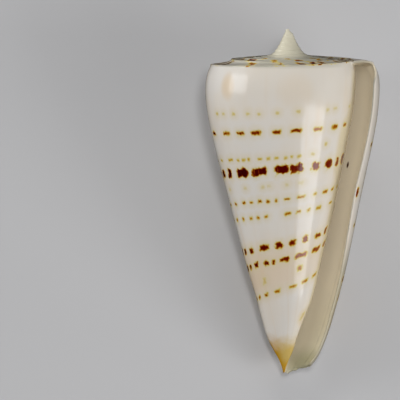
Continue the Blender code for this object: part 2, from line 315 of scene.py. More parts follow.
class FineShell:
    """Vertices are kept as growth angle, radius and depth, with how far each is on the inside."""

    def __init__(self):
        self.last = COLUMNS * WHORLS
        self.inner_last = self.last - COLUMNS
        self.pocket = self.last - round(APERTURE_TURNS * COLUMNS)
        self.count = 0
        self.parts = {"turn": [], "radius": [], "depth": [], "inner": [], "push": []}
        self.faces = []
        self.face_turns = []
        self.face_kinds = []
        self.make_ramp()
        self.make_side()
        self.make_inside()
        self.make_lip_edge()
        self.make_front_edge()
        self.make_sheets()

    def turns(self, first, last):
        return LIP_TURN - (self.last - np.arange(first, last + 1)) / COLUMNS

    def add(self, turn, radius, depth, inner=0.0, push=0.0):
        """Adds vertices in one block and returns their numbers in the same shape."""
        shape = radius.shape
        for name, value in (("turn", turn), ("radius", radius), ("depth", depth), ("inner", inner)):
            self.parts[name].append(np.broadcast_to(value, shape).ravel())
        self.parts["push"].append(np.broadcast_to(push, (*shape, 3)).reshape(-1, 3))
        numbers = self.count + np.arange(radius.size).reshape(shape)
        self.count += radius.size
        return numbers

    def make_ramp(self):
        """Level 0 is the suture, which is the foot of the whorl before."""
        apex = self.add(np.zeros(1), np.zeros(1), np.zeros(1))[0]
        whole = self.turns(1, self.last)[:, None]
        t = steps(RAMP_LEVELS)
        turn = set_back(whole, t)
        radius, depth = ramp_point(turn, t)
        edge_turn = set_back(whole, 1.0)
        top_r, top_d = ramp_point(edge_turn, 1.0)
        foot_r, foot_d = foot(edge_turn)
        a = steps(SHOULDER_LEVELS)
        edge_r = top_r + a * (foot_r - top_r) + SHOULDER_FULLNESS * (foot_d - top_d) * 4.0 * a * (1.0 - a)
        edge_d = top_d + a**SHOULDER_DROP_POWER * (foot_d - top_d)
        turn = np.hstack([turn, np.broadcast_to(edge_turn, edge_r.shape)])
        numbers = self.add(turn, np.hstack([radius, edge_r]), np.hstack([depth, edge_d]))
        self.ramp = np.full((self.last + 1, numbers.shape[1] + 1), apex)
        self.ramp[1:, 1:] = numbers
        self.ramp[COLUMNS + 1 :, 0] = self.ramp[1 : self.last + 1 - COLUMNS, -1]

    def side_shares(self, turn):
        """Shares of the way down of every level: the foot, the edge levels, the ceiling and the rest."""
        height = end_depth(turn) - shoulder_depth(turn)
        first = (foot(turn)[1] - shoulder_depth(turn)) / height
        ceiling = first + thinned(turn + 1.0, CEILING) / height
        above = first + (ceiling - first) * np.arange(CEILING_LEVEL + 1) / CEILING_LEVEL
        below = ceiling + (1.0 - ceiling) * steps(SIDE_LEVELS - CEILING_LEVEL)
        return np.hstack([above, below])

    def side_point(self, whole, u):
        turn = side_set_back(whole, u)
        in_front = smooth_step((u - FRONT_WAVES_FROM) / FRONT_WAVES_REACH)
        depth = side_depth(turn, u) + in_front * waves(FRONT_EDGE_WAVES, turn)
        return turn, side_radius(turn, u), depth

    def make_side(self):
        first = self.pocket - COLUMNS
        whole = self.turns(first, self.last)[:, None]
        u = self.shares = self.side_shares(whole)
        turn, radius, depth = self.side_point(whole, u)
        fading = 1.0 - WAVES_LOST_IN_FRONT * u
        radius = radius + smooth_step(u / WAVES_FADE_IN) * waves(GROWTH_WAVES, turn) * fading
        hidden = smooth_step((COVERED_FROM - turn) / COVERED_FADE)
        self.side = np.full((self.last + 1, SIDE_LEVELS + 1), -1)
        covered, shown = (first, self.inner_last, CEILING_LEVEL), (self.inner_last, self.last + 1, 1)
        for start, end, level in (covered, shown):
            block = (slice(start - first, end - first), slice(level, None))
            self.side[start:end, level:] = self.add(*[fact[block] for fact in (turn, radius, depth, hidden)])
        self.side[self.inner_last :, 0] = self.ramp[self.inner_last :, -1]

    def make_inside(self):
        """Level 0 lies on the side of the whorl before, and the others follow the outer levels."""
        whole = self.turns(self.pocket, self.last)[:, None]
        wall, ceiling = thinned(whole, WALL), thinned(whole, CEILING)
        t = steps(RAMP_LEVELS)
        turn = set_back(whole, t)
        radius, depth = ramp_point(turn, t)
        radius = radius - wall * t**RAMP_WALL_POWER
        depth = depth + ceiling
        top_turn = set_back(whole, 1.0)
        corner = ceiling / (end_depth(top_turn) - shoulder_depth(top_turn))
        shares = self.shares[self.pocket - self.last - 1 :]
        edge = shares[:, :1] * np.arange(1, SHOULDER_LEVELS + 1) / SHOULDER_LEVELS
        u = corner + (1.0 - corner) * np.hstack([edge, shares[:, 1:]])
        side_turn, outer, low_depth = self.side_point(whole, u)
        room = outer - side_radius(side_turn - 1.0, u)
        inner = outer - np.minimum(wall, MOST_WALL * room)
        turn, radius = np.hstack([turn, side_turn]), np.hstack([radius, inner])
        numbers = self.add(turn, radius, np.hstack([depth, low_depth]), 1.0)
        start = self.side[self.pocket - COLUMNS : self.inner_last + 1, CEILING_LEVEL]
        self.inside = np.column_stack([start, numbers])

    def between(self, outer, inner, lift, share):
        """Rows that round off an edge, pushed out along lift by at most this share of its thickness."""
        s = (np.arange(1, EDGE_LEVELS + 1) / (EDGE_LEVELS + 1))[None, :]

        def blend(name):
            values = self.joined(name)
            return values[outer][:, None] * (1.0 - s) + values[inner][:, None] * s

        radius = self.joined("radius")
        thickness = np.abs(radius[outer] - radius[inner])
        height = share * np.minimum(thickness, WALL)[:, None] * np.sqrt(1.0 - (2.0 * s - 1.0) ** 2)
        push = height[:, :, None] * lift[:, None, :]
        return self.add(blend("turn"), blend("radius"), blend("depth"), s, push)

    def joined(self, name):
        return np.concatenate(self.parts[name])

    def lift_directions(self, numbers, down):
        """Directions from growing forward (0) to the front end (1), in the shell's own frame."""
        angle = TAU * self.joined("turn")[numbers]
        forward = np.column_stack([-np.sin(angle), np.zeros_like(angle), np.cos(angle)])
        direction = forward * (1.0 - down)[:, None] + np.array([0.0, -1.0, 0.0]) * down[:, None]
        return direction / np.linalg.norm(direction, axis=1)[:, None]

    def make_lip_edge(self):
        outer = np.concatenate([self.ramp[self.last], self.side[self.last, 1:]])
        inner = self.inside[-1]
        levels = np.arange(len(outer))
        down = 0.5 * smooth_step((levels - levels[-1] + FRONT_CORNER_STEPS) / FRONT_CORNER_STEPS)
        lift = self.lift_directions(outer, down) * smooth_step(levels / SUTURE_CORNER_STEPS)[:, None]
        at_suture = self.side[self.inner_last, 1 : EDGE_LEVELS + 1]
        rows = np.vstack([at_suture, self.between(outer[1:], inner[1:], lift[1:], LIP_BULGE_HEIGHT)])
        self.lip = np.column_stack([outer, rows, inner])

    def make_front_edge(self):
        columns = np.arange(self.pocket, self.last)
        outer, inner = self.side[columns, -1], self.inside[:-1, -1]
        down = 1.0 - 0.5 * smooth_step(1.0 - (self.last - columns) / FRONT_CORNER_STEPS)
        rows = self.between(outer, inner, self.lift_directions(outer, down), FRONT_BULGE_HEIGHT)
        self.front = np.vstack([np.column_stack([outer, rows, inner]), self.lip[-1]])

    def sheet(self, grid, turns, kind):
        """Adds the faces of a grid of vertex numbers."""
        corners = np.stack([grid[:-1, :-1], grid[1:, :-1], grid[1:, 1:], grid[:-1, 1:]], axis=-1)
        turns = np.broadcast_to(turns[:, None], corners.shape[:2])
        for quad, turn in zip(corners.reshape(-1, 4).tolist(), turns.ravel().tolist()):
            self.face(quad, turn, kind)

    def face(self, corners, turn, kind):
        distinct = list(dict.fromkeys(corners))
        if len(distinct) > 2:
            self.faces.append(distinct)
            self.face_turns.append(turn)
            self.face_kinds.append(kind)

    def strip(self, grid, first, last, kind):
        """Adds the faces of a grid whose rows are the columns from first to last."""
        self.sheet(grid, self.turns(first, last - 1) + 0.5 / COLUMNS, kind)

    def make_sheets(self):
        start = self.pocket - COLUMNS
        self.strip(self.ramp, 0, self.last, "ramp")
        self.strip(self.side[self.inner_last :], self.inner_last, self.last, "side")
        covered = self.side[start : self.inner_last + 1, CEILING_LEVEL:]
        self.strip(covered, start, self.inner_last, "side")
        self.strip(self.inside, self.pocket, self.last, "inside")
        self.sheet(self.lip, np.full(len(self.lip) - 1, LIP_TURN), "edge")
        self.strip(self.front, self.pocket, self.last, "edge")
        self.close_pocket(start)
        self.close_front_end(start)

    def close_pocket(self, start):
        """The wall at the deep end of the hollow."""
        wall = self.inside[0]
        column = self.side[start, CEILING_LEVEL:]
        column = np.concatenate([np.full(len(wall) - len(column), column[0]), column])
        self.sheet(np.column_stack([wall, column]), np.full(len(wall) - 1, POCKET_END_TURN), "inside")

    def close_front_end(self, start):
        """Closes the columella's tip with a fan round a point on the axis."""
        inner = self.side[start : self.pocket, -1]
        ring = np.concatenate([inner, self.front[0]])
        depth = np.mean(self.joined("depth")[inner])[None]
        centre = self.add(np.array([TIP_TURN]), np.zeros(1), depth)[0]
        for before, after in zip(ring, np.roll(ring, -1)):
            self.face([int(centre), int(before), int(after)], TIP_FACE_TURN, "side")

    def positions(self):
        """Places in the shell's own frame: apex up along +Y, aperture towards +Z."""
        angle = TAU * self.joined("turn")
        radius, depth = self.joined("radius"), self.joined("depth")
        shift = TIP_SHIFT * smooth_step((depth - TIP_SHIFT_FROM * LENGTH) / (TIP_SHIFT_REACH * LENGTH))
        places = np.column_stack([radius * np.cos(angle) + shift, -depth, radius * np.sin(angle)])
        return places + self.joined("push")


def posed(places, low, high):
    """Lays the shell down as the solid lies, worn flat underneath."""
    tilt = math.radians(REST_TILT)
    x, y, z = places.T
    y, z = y * math.cos(tilt) - z * math.sin(tilt), y * math.sin(tilt) + z * math.cos(tilt)
    z = np.maximum(z - z.min() - FLAT_SPOT_CUT, 0.0)
    x = x - (x.min() + x.max()) / 2.0
    y = y - (y.min() + y.max()) / 2.0
    centre = (low + high) / 2.0
    return np.column_stack([x * MM + centre.x, y * MM + centre.y, z * MM])


# The dashes. Each row runs round the shell with the growth, deeper by this factor in a turn. A row gives its
# depth at the right silhouette, its usual height in millimetres, how dark it is, and its dashes, each as
# growth angle in degrees and length in millimetres.
ROW_RATIO = 1.24

# How much deeper the rows run in front than that, in millimetres at these turns, and how much less deep
# the lower rows run near the aperture
ROW_WAVE_TURNS = (-1.0, -0.93, -0.87, -0.75, -0.6, -0.5, -0.3, 0.1)
ROW_DROP = (0.1, 0.1, 0.1, 0.2, 0.34, 0.38, 0.0, 0.0)
ROW_RISE = (0.85, 0.7, 0.3, 0.05, 0.0, 0.0, 0.0, 0.0)
ROW_RISE_FROM = 20.0
ROW_RISE_SPAN = 26.0
MOST_ROW_RISE = 1.3

# How much of its pigment a dash keeps towards the aperture, at these turns
PALER_TURNS = (-1.0, -0.83, -0.75, -0.66, -0.05, 0.05)
PALER = (0.74, 0.74, 0.88, 1.0, 1.0, 0.75)

# How much the dashes differ by chance, in millimetres and as shares
SEED = 7
DEPTH_SPREAD = 0.06
HEIGHT_SPREAD = 0.1
TONE_SPREAD = 0.06

ROWS = (
    (17.4, 0.38, 0.36, {
        -333: 0.7, -311: 0.8, -303: 0.5, -277: 0.7, -261: 0.5, -247: 0.4, -238: 0.5, -225: 0.6, -214: 0.6,
        -206: 0.7, -157: 0.9, -146: 0.7, -135: 0.8, -123: 0.7, -104: 0.5, -92: 0.6, -66: 0.8, -42: 0.5,
        -12: 0.6, 8: 0.5,
    }),
    (21.6, 0.72, 0.82, {
        -347: 0.9, -329: 1.3, -313: 1.7, -295: 1.8, -276: 2.0, -260: 1.6, -243: 2.0, -229: 1.8, -214: 1.9,
        -194: 1.6, -173: 1.5, -158: 1.9, -145: 1.6, -135: 1.1, -126: 1.5, -113: 1.3, -92: 1.8, -68: 1.8,
        -49: 2.0, -28: 2.0, -6: 1.5, 12: 1.2,
    }),
    (27.4, 0.42, 0.46, {
        -292: 0.7, -279: 0.6, -272: 0.4, -267: 0.5, -259: 0.6, -252: 0.6, -244: 0.7, -233: 0.5, -228: 0.7,
        -222: 0.6, -212: 1.3, -196: 0.8, -182: 0.7, -166: 0.8, -152: 1.2, -137: 0.7, -129: 0.6, -117: 0.5,
        -106: 0.6, -90: 1.0, -80: 0.7, -68: 1.1, -59: 0.6, -47: 1.0, -32: 0.7, -14: 0.8, 6: 0.6,
    }),
    (30.2, 1.75, 1.0, {
        -339: 1.7, -326: 1.2, -313: 1.9, -296: 1.6, -277: 2.8, -263: 2.7, -242: 3.0, -224: 2.8, -206: 1.3,
        -192: 1.6, -177: 2.0, -161: 2.2, -149: 1.9, -139: 1.0, -130: 1.2, -118: 1.5, -105: 1.2, -92: 1.5,
        -75: 1.7, -58: 2.0, -45: 1.3, -33: 2.4, -14: 1.6, 3: 1.7, 24: 1.3,
    }),
    (33.5, 0.36, 0.24, {
        -282: 0.8, -268: 0.5, -250: 0.6, -244: 0.5, -224: 0.6, -198: 0.8, -166: 0.7, -139: 0.6, -107: 0.7,
        -82: 1.0, -63: 0.6, -47: 0.6, -20: 0.7,
    }),
    (36.7, 0.57, 0.75, {
        -340: 0.8, -327: 0.9, -314: 1.3, -299: 0.5, -283: 1.4, -268: 1.0, -257: 0.4, -248: 0.7, -239: 0.8,
        -228: 0.7, -218: 0.8, -203: 0.9, -187: 0.9, -173: 0.8, -161: 0.9, -149: 0.8, -141: 0.6, -134: 0.6,
        -120: 1.4, -104: 0.6, -92: 1.4, -70: 1.4, -58: 0.5, -49: 1.1, -37: 0.8, -21: 1.2, -4: 0.9, 13: 1.0,
    }),
    (40.1, 0.53, 0.66, {
        -328: 1.0, -307: 1.2, -293: 0.5, -281: 0.8, -269: 1.1, -244: 0.6, -234: 0.7, -224: 0.7, -211: 0.7,
        -196: 0.8, -181: 0.8, -165: 0.7, -153: 0.8, -142: 0.5, -134: 0.5, -121: 1.1, -95: 1.0, -75: 0.7,
        -57: 0.9, -39: 0.6, -22: 0.9, 3: 0.8,
    }),
    (46.9, 1.15, 0.95, {
        -330: 1.1, -314: 1.7, -293: 1.3, -275: 1.3, -257: 1.6, -236: 2.2, -213: 1.3, -196: 1.1, -180: 1.3,
        -167: 1.4, -154: 0.7, -136: 2.2, -112: 0.7, -100: 1.1, -77: 2.1, -56: 1.0, -44: 1.8, -26: 1.2,
        -9: 1.3, 12: 1.0,
    }),
    (50.3, 0.98, 0.9, {
        -336: 1.2, -315: 2.0, -289: 2.4, -264: 1.9, -248: 0.6, -236: 1.3, -216: 1.3, -200: 1.0, -186: 1.2,
        -172: 1.2, -158: 0.6, -149: 0.9, -136: 1.1, -115: 0.7, -101: 1.5, -84: 1.2, -69: 0.9, -57: 1.0,
        -47: 1.7, -28: 0.9, -10: 1.2, 11: 0.8,
    }),
    (56.9, 0.62, 0.68, {
        -324: 1.3, -301: 1.3, -278: 1.5, -249: 1.2, -224: 0.9, -202: 0.8, -186: 0.7, -168: 0.9, -149: 1.1,
        -128: 0.6, -116: 1.1, -92: 0.8, -72: 1.0, -58: 0.7, -47: 0.5, -28: 0.8, -6: 0.7,
    }),
)

# Spots outside the rows: growth angle in degrees, depth, length, height and darkness
STRAY_SPOTS = (
    (-305, 21.1, 0.5, 0.5, 0.34), (-355, 25.8, 0.6, 0.8, 0.9), (-288, 44.8, 1.0, 1.2, 0.46),
    (-227, 47.0, 0.6, 1.1, 0.3), (-316, 54.4, 0.7, 1.1, 0.26), (-65, 51.0, 0.8, 1.3, 0.42),
    (-152, 25.9, 1.0, 2.0, 0.44), (-140, 29.9, 0.5, 1.0, 0.44), (-152, 49.0, 0.5, 1.3, 0.5),
    (-80, 53.0, 0.7, 1.3, 0.22), (-125, 31.5, 0.5, 0.5, 0.3),
)

# Streaks over the ramps of the spire: growth angle in degrees, width, darkness and lean
RAMP_STREAKS = (
    (12, 1.2, 0.8, 0.5), (-18, 1.6, 0.62, 0.3), (-42, 0.9, 0.9, -0.2), (-62, 1.5, 0.98, 0.5),
    (-84, 0.8, 0.5, 0.2), (-104, 1.7, 0.72, 0.6), (-142, 1.5, 0.82, 0.4), (-160, 1.0, 0.9, -0.3),
    (-182, 0.8, 0.95, 0.2), (-197, 1.0, 0.95, 0.3), (-233, 1.2, 0.5, 0.4), (-262, 0.8, 0.4, 0.3),
    (-284, 1.1, 0.78, 0.6), (-296, 0.9, 0.96, 0.2), (-307, 1.2, 0.7, 0.4), (-330, 0.8, 0.6, 0.2),
    (-346, 1.1, 0.8, 0.4), (-366, 1.5, 0.9, 0.3), (-384, 1.2, 0.8, 0.5), (-416, 1.5, 0.98, 0.2),
    (-434, 1.3, 0.74, 0.4), (-462, 0.8, 0.6, 0.4), (-490, 1.0, 0.9, 0.2), (-528, 1.2, 0.94, 0.5),
    (-552, 0.8, 0.6, 0.2), (-578, 2.4, 0.96, 0.5), (-613, 1.4, 0.42, 0.3), (-645, 1.2, 0.8, 0.5),
    (-676, 1.0, 0.7, 0.2), (-708, 0.9, 0.8, 0.4), (-742, 1.2, 0.94, 0.3), (-764, 0.8, 0.6, 0.3),
    (-792, 1.1, 0.74, 0.4), (-826, 0.8, 0.6, 0.2), (-855, 1.3, 0.92, 0.4), (-900, 0.8, 0.7, 0.4),
    (-950, 0.8, 0.6, 0.3), (-990, 1.0, 0.64, 0.4), (-1035, 0.7, 0.7, 0.3), (-1090, 0.8, 0.8, 0.3),
    (-1150, 0.7, 0.5, 0.3), (-1210, 0.6, 0.6, 0.3),
)

# The streaks' half width, as a share of the width, and where they narrow towards the small whorls
STREAK_HALF_WIDTH = 0.6
SMALL_WHORL_WIDTH = 0.4
SMALL_WHORL_RADIUS = 4.0
SMALL_WHORL_SPAN = 3.0

# Turns from which marks are drawn, and the distance where there is none
SIDE_MARKS_FROM = -1.05
RAMP_MARKS_FROM = -3.6
FAR_AWAY = 9.0


def side_marks():
    """Every dash and spot, as rows of growth angle, row depth, half length, half height and tone."""
    chance = np.random.default_rng(SEED)
    marks = []
    for row_depth, height, dark, dashes in ROWS:
        for degrees, length in dashes.items():
            turn = degrees / 360.0
            shift = chance.normal(0.0, DEPTH_SPREAD)
            tall = height * (1.0 + chance.normal(0.0, HEIGHT_SPREAD))
            tone = min(dark * (1.0 + chance.normal(0.0, TONE_SPREAD)), 1.0)
            tone *= float(monotone_curve(PALER_TURNS, PALER, np.array([turn]))[0])
            marks.append((turn, row_depth + shift, 0.5 * length, 0.5 * tall, tone))
    for degrees, depth, length, height, dark in STRAY_SPOTS:
        turn = degrees / 360.0
        marks.append((turn, depth * ROW_RATIO**-turn, 0.5 * length, 0.5 * height, dark))
    return np.array(marks).T


def row_depth_at(turn, first_depth):
    """Depth at which the row that starts at this depth runs at that growth angle."""
    drop = monotone_curve(ROW_WAVE_TURNS, ROW_DROP, turn)
    rise = monotone_curve(ROW_WAVE_TURNS, ROW_RISE, turn)
    share = np.clip((first_depth - ROW_RISE_FROM) / ROW_RISE_SPAN, 0.0, MOST_ROW_RISE)
    return first_depth * ROW_RATIO**turn + drop - rise * share


def beside_side_marks(turn, depth, marks):
    """Distances along and across the row from each mark, as one column for each mark."""
    centre_turn, row_depth = marks[:2]
    radius = late_side_radius(centre_turn, side_share(row_depth_at(centre_turn, row_depth)))
    along = (turn[..., None] - centre_turn) * TAU * radius
    across = depth[..., None] - row_depth_at(turn[..., None], row_depth)
    return along, across


def ramp_marks():
    """The ramps' streaks, as rows of growth angle, radius, half width, half span, tone and lean."""
    degrees, width, tone, lean = np.array(RAMP_STREAKS, float).T
    turn = degrees / 360.0
    inner = foot(turn - 1.0)[0]
    outer = shoulder_radius(turn)
    shown = np.clip((outer - SMALL_WHORL_RADIUS) / SMALL_WHORL_SPAN, 0.0, 1.0)
    half_width = STREAK_HALF_WIDTH * width * (SMALL_WHORL_WIDTH + (1.0 - SMALL_WHORL_WIDTH) * shown)
    return np.array([turn, (inner + outer) / 2.0, half_width, 0.5 * (outer - inner), tone, lean])


def beside_ramp_marks(turn, radius, marks):
    centre_turn, centre_radius = marks[:2]
    across = radius[..., None] - centre_radius
    along = (turn[..., None] - centre_turn) * TAU * centre_radius + marks[-1] * across
    return along, across


def box_distance(along, across, half_length, half_height):
    past_x, past_y = np.abs(along) - half_length, np.abs(across) - half_height
    outside = np.hypot(np.maximum(past_x, 0.0), np.maximum(past_y, 0.0))
    return outside + np.minimum(np.maximum(past_x, past_y), 0.0)


def layout(items, name):
    numbers = np.empty(len(items), np.int64)
    items.foreach_get(name, numbers)
    return numbers


class CornerFacts:
    """What the material needs to know at every face corner."""

    def __init__(self, shell, mesh):
        corners = layout(mesh.loops, "vertex_index")
        self.starts = layout(mesh.polygons, "loop_start")
        self.sizes = layout(mesh.polygons, "loop_total")
        self.faces = np.repeat(np.arange(len(self.sizes)), self.sizes)
        self.kinds = np.array(shell.face_kinds)
        kind = self.kinds[self.faces]
        face_turn = np.array(shell.face_turns)[self.faces]
        names = ("turn", "radius", "depth", "inner")
        turn, radius, depth, inner = (shell.joined(name)[corners] for name in names)
        turn = np.where(radius == 0.0, face_turn, turn + np.round(face_turn - turn))
        inner[kind == "inside"] = 1.0
        inner[kind == "ramp"] = 0.0
        on_ramp = (kind == "ramp").astype(float)
        self.values = {"turn": turn, "depth": depth, "inner": inner, "radius": radius, "on_ramp": on_ramp}
        for name in ("along", "across"):
            self.values[name] = np.full(len(corners), FAR_AWAY)
        for name in ("half_length", "half_height", "tone"):
            self.values[name] = np.zeros(len(corners))
        self.measure("side", "depth", side_marks(), beside_side_marks, SIDE_MARKS_FROM)
        self.measure("ramp", "radius", ramp_marks(), beside_ramp_marks, RAMP_MARKS_FROM)

    def middle(self, name):
        return np.add.reduceat(self.values[name], self.starts) / self.sizes

    def measure(self, kind, second, marks, beside, first_turn):
        """Gives each face of that kind its nearest mark and measures its corners from it."""
        centre_turn = self.middle("turn")
        chosen = np.flatnonzero((self.kinds == kind) & (centre_turn > first_turn))
        along, across = beside(centre_turn[chosen], self.middle(second)[chosen], marks)
        nearest = np.full(len(self.kinds), -1)
        nearest[chosen] = np.argmin(box_distance(along, across, *marks[2:4]), axis=1)
        mark = nearest[self.faces]
        here = np.flatnonzero(mark >= 0)
        mark = mark[here]
        along, across = beside(self.values["turn"][here], self.values[second][here], marks)
        rows = np.arange(len(here))
        self.values["along"][here] = along[rows, mark]
        self.values["across"][here] = across[rows, mark]
        for name, size in zip(("half_length", "half_height", "tone"), marks[2:5]):
            self.values[name][here] = size[mark]


def make_shell():
    low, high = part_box("shell")
    fine = FineShell()
    mesh = bpy.data.meshes.new("necklace_cone_shell")
    mesh.from_pydata(posed(fine.positions(), low, high), [], fine.faces)
    bm = bmesh.new()
    bm.from_mesh(mesh)
    bmesh.ops.recalc_face_normals(bm, faces=bm.faces[:])
    bm.to_mesh(mesh)
    bm.free()
    for name, values in CornerFacts(fine, mesh).values.items():
        attribute = mesh.attributes.new(name, "FLOAT", "CORNER")
        attribute.data.foreach_set("value", values.astype(np.float32))
    mesh.shade_smooth()
    mesh.materials.append(shell_material())
    piece = bpy.data.objects.new("necklace_cone_shell", mesh)
    bpy.context.scene.collection.objects.link(piece)
    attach(piece, "root")
    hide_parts("shell")
    return piece


# Numbers of the Mix node's colour sockets
MIX_UNDER = 6
MIX_OVER = 7
MIX_RESULT = 2


class Paint:
    """Builds one material's nodes. Each call returns the socket that it makes."""

    def __init__(self, name):
        self.material = bpy.data.materials.new(name)
        self.material.use_nodes = True
        self.tree = self.material.node_tree
        self.shader = self.tree.nodes["Principled BSDF"]
        self.facts = {}

    def plug(self, socket, value):
        if isinstance(value, bpy.types.NodeSocket):
            self.tree.links.new(value, socket)
        elif isinstance(value, tuple):
            socket.default_value = (*value, 1.0)
        else:
            socket.default_value = value

    def finish(self, **settings):
        """Sets the shader's sockets by name, with _ for a space."""
        for name, value in settings.items():
            self.plug(self.shader.inputs[name.replace("_", " ")], value)
        return self.material

    def node(self, kind, inputs, **options):
        """Adds a node with these options, and plugs its inputs by name or number."""
        node = self.tree.nodes.new("ShaderNode" + kind)
        for name, option in options.items():
            setattr(node, name, option)
        for name, value in inputs.items():
            self.plug(node.inputs[name], value)
        return node

    def fact(self, name):
        """A number that the mesh keeps at its corners, or one that is in facts already."""
        if name not in self.facts:
            self.facts[name] = self.node("Attribute", {}, attribute_name=name).outputs["Fac"]
        return self.facts[name]

    def place(self, scale=1.0):
        """The place in the object's own frame, times the scale."""
        place = self.node("TexCoord", {}).outputs["Object"]
        return self.node("VectorMath", {0: place, "Scale": scale}, operation="SCALE").outputs[0]

    def math(self, operation, *values):
        return self.node("Math", dict(enumerate(values)), operation=operation).outputs[0]

    def times(self, *values):
        product = values[0]
        for value in values[1:]:
            product = self.math("MULTIPLY", product, value)
        return product

    def fade(self, value, start, end, low=0.0, high=1.0):
        """Goes smoothly from low to high as the value goes from start to end."""
        inputs = {"Value": value, "From Min": start, "From Max": end, "To Min": low, "To Max": high}
        return self.node("MapRange", inputs, interpolation_type="SMOOTHSTEP").outputs["Result"]

    def cover(self, *ranges):
        """How much a layer shows: the product of its fades, each a fact's name with the fade's settings."""
        return self.times(*[self.fade(self.fact(name), *settings) for name, *settings in ranges])

    def mix(self, share, under, over):
        inputs = {"Factor": share, MIX_UNDER: under, MIX_OVER: over}
        return self.node("Mix", inputs, data_type="RGBA").outputs[MIX_RESULT]

    def layered(self, colour, layers):
        for over, *ranges in layers:
            colour = self.mix(self.cover(*ranges), colour, over)
        return colour

    def noise(self, place, scale, detail=2.0):
        inputs = {"Vector": place, "Scale": scale, "Detail": detail}
        return self.node("TexNoise", inputs).outputs["Fac"]

    def growth_noise(self, a_turn, a_millimetre):
        """Noise that is drawn out down the growth lines, with so many waves a turn and a millimetre."""
        x, y = self.times(self.fact("turn"), a_turn), self.times(self.fact("depth"), a_millimetre)
        return self.noise(self.node("CombineXYZ", {"X": x, "Y": y}).outputs[0], 1.0)

    def ramp(self, value, stops):
        node = self.node("ValToRGB", {"Fac": value})
        elements = node.color_ramp.elements
        while len(elements) < len(stops):
            elements.new(0.5)
        for element, (place, colour) in zip(elements, stops):
            element.position = place
            element.color = (*colour, 1.0)
        return node.outputs["Color"]


# Colours, as linear red, green and blue
IVORY = (0.75, 0.685, 0.60)
COOL_WHITE = (0.74, 0.705, 0.655)
PEACH = (0.72, 0.56, 0.38)
TAN = (0.72, 0.53, 0.30)
YELLOWED = (0.70, 0.60, 0.40)
CALLUS = (0.68, 0.59, 0.39)
WARM_TOP = (0.69, 0.625, 0.53)
TOWER = (0.70, 0.66, 0.52)
# Painted shade on the spire's ramps and the shoulder's edge
SPIRE_SHADE = (0.50, 0.475, 0.39)
THROAT = (0.90, 0.81, 0.63)
THROAT_FRONT = (0.77, 0.705, 0.52)
# Painted shade deep inside the hollow and at its front end
THROAT_DEEP_SHADE = (0.55, 0.475, 0.35)
FRONT_SHADE = (0.36, 0.34, 0.20)
LIP_WHITE = (0.57, 0.535, 0.45)
LIP_BEIGE = (0.48, 0.43, 0.30)
LIP_GREY = (0.43, 0.415, 0.35)
# Painted shade in the notch where the lip meets the spire
LIP_NOTCH_SHADE = (0.16, 0.10, 0.03)
BROWN = (0.05, 0.012, 0.002)
# Painted shade at the top of the throat
RIM_SHADE = (0.44, 0.40, 0.31)
OCHRE = (0.55, 0.30, 0.015)
PALE_OCHRE = (0.62, 0.44, 0.13)

# The dashes' colour, by how much pigment there is
INK = (
    (0.0, (0.66, 0.58, 0.22)),
    (0.18, (0.61, 0.46, 0.09)),
    (0.28, (0.55, 0.33, 0.04)),
    (0.42, (0.40, 0.14, 0.006)),
    (0.58, (0.25, 0.045, 0.001)),
    (0.75, (0.15, 0.008, 0.0)),
    (0.88, (0.085, 0.001, 0.0)),
    (1.0, (0.045, 0.0, 0.0)),
)

# Layers of colour, in order. A layer has a colour and ranges, and shows where they all meet. A range names a
# fact and gives its values where the layer starts to show and where it shows in full, and after them how much
# it shows at both where that isn't 0 and 1.
ON_RAMP = ("on_ramp", 0.0, 1.0)
IN_FRONT = (("turn", -0.5, -0.68), ("turn", -0.92, -0.85))
PAST_COLUMELLA = ("turn", -0.985, -0.955)

FLUSH_LAYERS = (
    # Between the lower rows of dashes
    (
        PEACH, ("row", 44.0, 51.0), ("row", 60.0, 54.5), ("turn", -0.92, -0.6, 0.45, 1.0),
        ("clouds", -0.6, 1.0, 0.5, 0.8),
    ),
    # Under the shoulder on the right
    (WARM_TOP, ("depth", 16.0, 11.0, 0.0, 0.5), ("turn", -0.58, -0.68)),
)
SPIRE_LAYERS = (
    # The shoulder's edge and the ramp in front, and the older ramps, darkened with painted shade; and the
    # tower's own colour
    (SPIRE_SHADE, ("depth", 7.1, 6.3, 0.0, 0.6), *IN_FRONT),
    (SPIRE_SHADE, ON_RAMP, *IN_FRONT),
    (SPIRE_SHADE, ON_RAMP, ("turn", -0.98, -1.04)),
    (TOWER, ON_RAMP, ("radius", 6.5, 2.8)),
)
LIP_LAYERS = (
    # The lower lip's outer edge, and painted shade in the notch where the lip meets the spire
    (LIP_BEIGE, ("depth", 38.0, 47.0), ("turn", -0.01, 0.03, 0.0, 0.8)),
    (LIP_NOTCH_SHADE, ON_RAMP, ("turn", 0.0, 0.04), ("radius", 15.0, 13.4)),
)
THROAT_LAYERS = (
    # Towards the front, painted shade deep inside, and painted shade at the front end
    (THROAT_FRONT, ("depth", 46.0, 61.0)),
    (THROAT_DEEP_SHADE, ("turn", -0.03, -0.13), ("depth", 35.0, 55.0, 0.95, 0.7)),
    (FRONT_SHADE, ("depth", 59.5, 63.0), ("turn", -0.3, -0.05, 0.0, 0.8)),
)
RIM_LAYERS = (
    (LIP_BEIGE, ("depth", 38.0, 48.0)),
    (LIP_GREY, ("depth", 22.0, 12.0)),
)
RIM_PLACE = (("turn", LIP_TURN - 0.02, LIP_TURN), ("depth", 6.5, 10.0))
# Painted shade at the top of the throat, under the ceiling
THROAT_TOP_LAYERS = ((RIM_SHADE, ("depth", 7.2, 6.0)),)
INSIDE_PLACE = (("inner", 0.0, 0.35),)

# The stain at the front end is deepest on the left side
STAIN_LAYERS = (
    (OCHRE, ("turn", -0.74, -0.56)),
    (OCHRE, ("depth", 62.0, 64.2)),
)
STAIN_PLACE = (("cloudy_depth", 58.7, 62.7), ("turn", -0.12, -0.42), ("turn", -1.2, -0.9))
STAIN_CLOUDS = 0.5
STAIN_CLOUD_HEIGHT = 3.0

